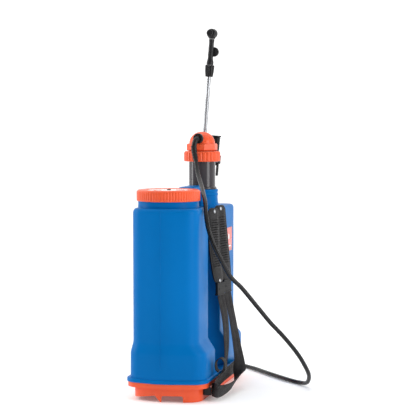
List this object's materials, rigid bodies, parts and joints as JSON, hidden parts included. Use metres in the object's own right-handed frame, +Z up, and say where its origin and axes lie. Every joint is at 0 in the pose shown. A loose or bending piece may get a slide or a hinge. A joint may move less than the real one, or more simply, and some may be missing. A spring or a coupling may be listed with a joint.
{
  "type": "backpack sprayer",
  "caption": "Lever-pumped backpack sprayer: blue kidney tank on an orange base, screw filler lid, dark pressure chamber, hose, trigger gun with steel lance, and padded straps.",
  "frame": {"origin": "on the ground under the middle of the base's footprint, on the base's middle foot rib", "axes": "+Z up, +X along the tank from the filler lid to the pump, -Y to the wearer's back"},
  "size_m": [0.5251, 0.3887, 0.8564],
  "materials": {
    "tank_blue": "satin moulded polyethylene",
    "orange": "satin moulded plastic",
    "charcoal": "semi-gloss",
    "black_plastic": "satin",
    "white_plastic": "satin",
    "rubber": "matte",
    "hose_rubber": "semi-matte",
    "steel": "bright drawn",
    "brass": "plain",
    "webbing": "woven",
    "padding": "ribbed woven cover",
    "sticker_red": "printed film, no text"
  },
  "bodies": {
    "sprayer": {"base_skirt": "orange", "buckle_far": "black_plastic", "buckle_near": "black_plastic", "carry_handle": "tank_blue", "chamber_dome": "orange", "chamber_nut": "orange", "dome_o_ring": "rubber", "gun_body": "black_plastic", "gun_clip_lower": "black_plastic", "gun_clip_upper": "black_plastic", "gun_grip": "black_plastic", "hose": "hose_rubber", "hose_nut_gun": "black_plastic", "lance_nut": "black_plastic", "lance_tube": "steel", "lock_collar": "orange", "lower_hook_far": "black_plastic", "lower_hook_near": "black_plastic", "nozzle_head": "black_plastic", "nozzle_nut": "black_plastic", "nozzle_stem": "black_plastic", "outlet_elbow": "black_plastic", "outlet_nut": "black_plastic", "pressure_chamber": "charcoal", "pump_cylinder": "white_plastic", "rod_guide": "white_plastic", "shaft_bearing_inner": "white_plastic", "shaft_bearing_outer": "white_plastic", "shoulder_pad_far": "padding", "shoulder_pad_near": "padding", "sticker": "sticker_red", "strap_anchor_far": "black_plastic", "strap_anchor_near": "black_plastic", "tank": "tank_blue", "trigger_pin": "steel", "valve_bonnet": "black_plastic", "webbing_far": "webbing", "webbing_near": "webbing", "webbing_tail": "webbing"},
    "lever": {"lever_shaft": "steel", "crank_arm": "steel", "crank_roller": "white_plastic", "lever_socket": "black_plastic", "lever_tube": "steel", "lever_grip": "black_plastic"},
    "pump_rod": {"rod_yoke": "steel", "piston_rod": "steel", "piston": "white_plastic", "piston_cup": "rubber"},
    "inlet_valve": {"inlet_ball": "steel"},
    "outlet_valve": {"outlet_ball": "steel"},
    "lid_seal": {"lid_gasket": "rubber"},
    "lid": {"filler_lid": "orange", "vent_valve": "rubber"},
    "strainer": {"strainer_basket": "white_plastic"},
    "trigger": {"trigger": "black_plastic"},
    "gun_valve": {"valve_stem": "brass"},
    "nozzle_cap": {"nozzle_cap": "black_plastic"},
    "flow_dial": {"flow_dial": "black_plastic"}
  },
  "joints": [
    {"name": "lever_swing", "type": "hinge", "parent": "sprayer", "child": "lever", "pos_m": [0.236, -0.048, 0.031], "axis": [1, 0, 0], "range_deg": [0, 70]},
    {"name": "piston_stroke", "type": "slide", "parent": "sprayer", "child": "pump_rod", "axis": [0, 0, 1], "range_m": [0, 0.0413]},
    {"name": "inlet_ball_lift", "type": "slide", "parent": "pump_rod", "child": "inlet_valve", "axis": [0, 0, 1], "range_m": [0, 0.004]},
    {"name": "outlet_ball_lift", "type": "slide", "parent": "sprayer", "child": "outlet_valve", "axis": [0, 0, 1], "range_m": [0, 0.006]},
    {"name": "lid_lift", "type": "slide", "parent": "sprayer", "child": "lid_seal", "axis": [0, 0, 1], "range_m": [0, 0.26]},
    {"name": "lid_turn", "type": "hinge", "parent": "lid_seal", "child": "lid", "pos_m": [-0.116, 0.011, 0.46], "axis": [0, 0, 1], "range_deg": [0, 450]},
    {"name": "strainer_lift", "type": "slide", "parent": "sprayer", "child": "strainer", "axis": [0, 0, 1], "range_m": [0, 0.13]},
    {"name": "trigger_pull", "type": "hinge", "parent": "sprayer", "child": "trigger", "pos_m": [0.268, -0.01209, 0.52373], "axis": [1, 0, 0], "range_deg": [0, 12], "stiffness_Nm_per_rad": 0.6, "springref_deg": -5.73},
    {"name": "gun_valve_lift", "type": "slide", "parent": "sprayer", "child": "gun_valve", "axis": [0, -0.0767, 0.9971], "range_m": [0, 0.0019]},
    {"name": "nozzle_cap_turn", "type": "hinge", "parent": "sprayer", "child": "nozzle_cap", "pos_m": [0.268, 0.00239, 0.84388], "axis": [-0.9753, 0.2073, 0.0767], "range_deg": [-180, 180]},
    {"name": "flow_dial_turn", "type": "hinge", "parent": "sprayer", "child": "flow_dial", "pos_m": [0.268, 0.00006, 0.79847], "axis": [1, 0, 0], "range_deg": [-90, 90]}
  ],
  "couplings": [
    {"joint": "piston_stroke", "follows": "lever_swing", "m_per_rad": 0.0338},
    {"joint": "strainer_lift", "follows": "lid_lift", "ratio": 0.5},
    {"joint": "gun_valve_lift", "follows": "trigger_pull", "m_per_rad": 0.009}
  ]
}
